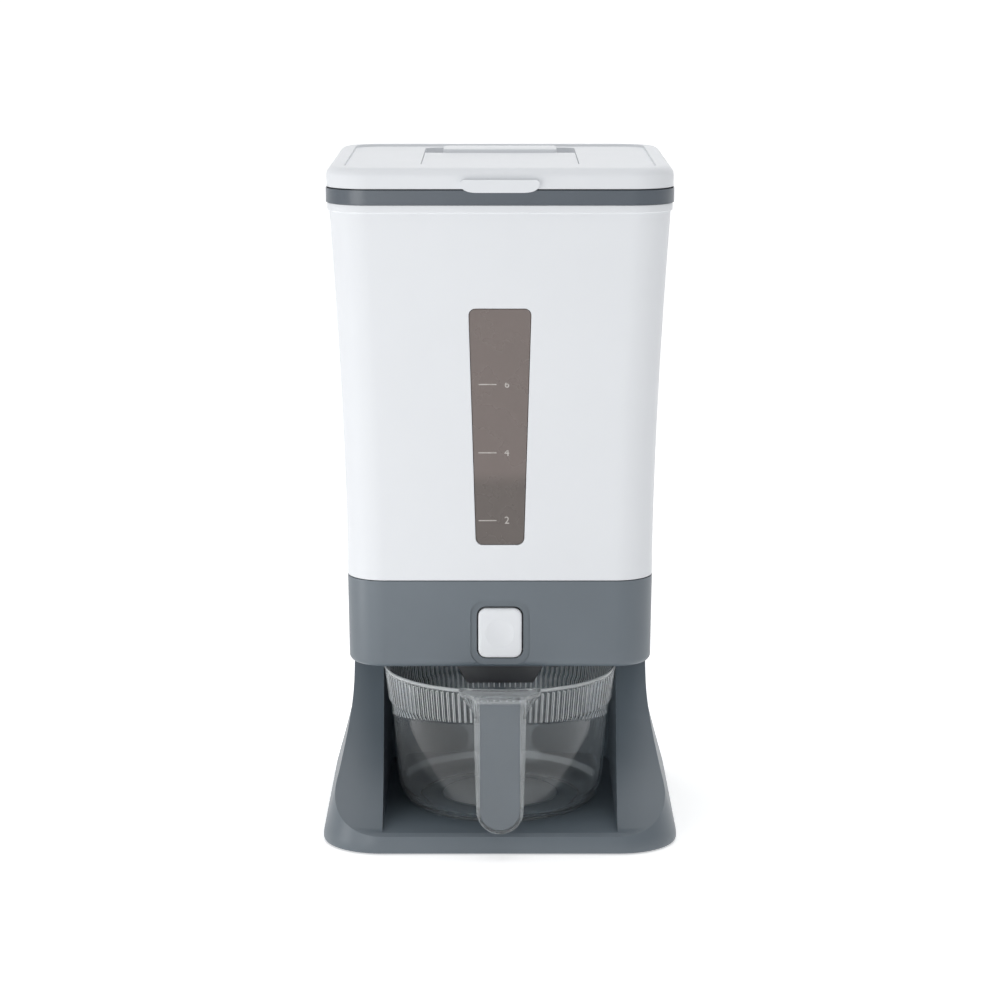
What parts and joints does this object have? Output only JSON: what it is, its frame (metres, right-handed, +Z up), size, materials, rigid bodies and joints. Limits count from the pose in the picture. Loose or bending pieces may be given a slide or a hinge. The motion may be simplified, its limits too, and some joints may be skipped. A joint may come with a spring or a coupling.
{
  "type": "cereal dispenser",
  "caption": "Tall bin for grain or cereal on a flared stand, with a hinged lid, sight window, push-button gate and a clear measuring bowl under the outlet",
  "frame": {"origin": "centre of the bounding box in plan, on the surface the feet stand on", "axes": "+Z up, the button and the bowl's handle face -Y, X across the front"},
  "size_m": [0.263, 0.282, 0.501],
  "materials": {
    "slate_plastic": "fine satin, moulded",
    "charcoal_plastic": "satin, moulded",
    "white_plastic": "smooth, lightly glossy",
    "inner_plastic": "plain moulded",
    "feet": "matte",
    "steel": "bright zinc",
    "smoked_plastic": "smoked, half clear",
    "seal": "soft silicone",
    "sachet": "porous paper",
    "clear_plastic": "clear moulded polystyrene"
  },
  "bodies": {
    "stand": {"base_shell": "slate_plastic", "foot_front_left": "feet", "foot_front_right": "feet", "foot_rear_left": "feet", "foot_rear_right": "feet", "stand_screw_arm_left": "steel", "stand_screw_arm_right": "steel", "stand_screw_rear_left": "steel", "stand_screw_rear_right": "steel", "dispenser_housing": "slate_plastic", "outlet_chute": "charcoal_plastic", "chute_screw_front_left": "steel", "chute_screw_front_right": "steel", "chute_screw_rear_left": "steel", "chute_screw_rear_right": "steel", "gate_spring_left": "steel", "gate_spring_right": "steel", "hopper_funnel": "inner_plastic", "bin_shell": "white_plastic", "sight_window": "smoked_plastic", "collar_ring": "slate_plastic", "hinge_pin_left": "steel", "hinge_pin_right": "steel"},
    "gate": {"gate_slide": "inner_plastic", "button_cap": "white_plastic"},
    "lid": {"lid_shell": "white_plastic", "lid_seal": "seal", "desiccant_basket": "inner_plastic", "desiccant_sachet": "sachet"},
    "lid_cover": {"desiccant_cover": "inner_plastic"},
    "bowl": {"measuring_bowl": "clear_plastic", "handle_insert": "slate_plastic"}
  },
  "joints": [
    {"name": "lid_hinge", "type": "hinge", "parent": "stand", "child": "lid", "pos_m": [0, 0.1369, 0.4825], "axis": [-1, 0, 0], "range_deg": [0, 100]},
    {"name": "button_press", "type": "slide", "parent": "stand", "child": "gate", "axis": [0, 1, 0], "range_m": [0, 0.012], "stiffness_N_per_m": 300, "springref_m": -0.004, "deforming": ["gate_spring_left", "gate_spring_right"]},
    {"name": "bowl_slide", "type": "slide", "parent": "stand", "child": "bowl", "axis": [0, -1, 0], "range_m": [0, 0.23]},
    {"name": "desiccant_cover_lift", "type": "slide", "parent": "lid", "child": "lid_cover", "axis": [0, 0, 1], "range_m": [0, 0.03]}
  ]
}
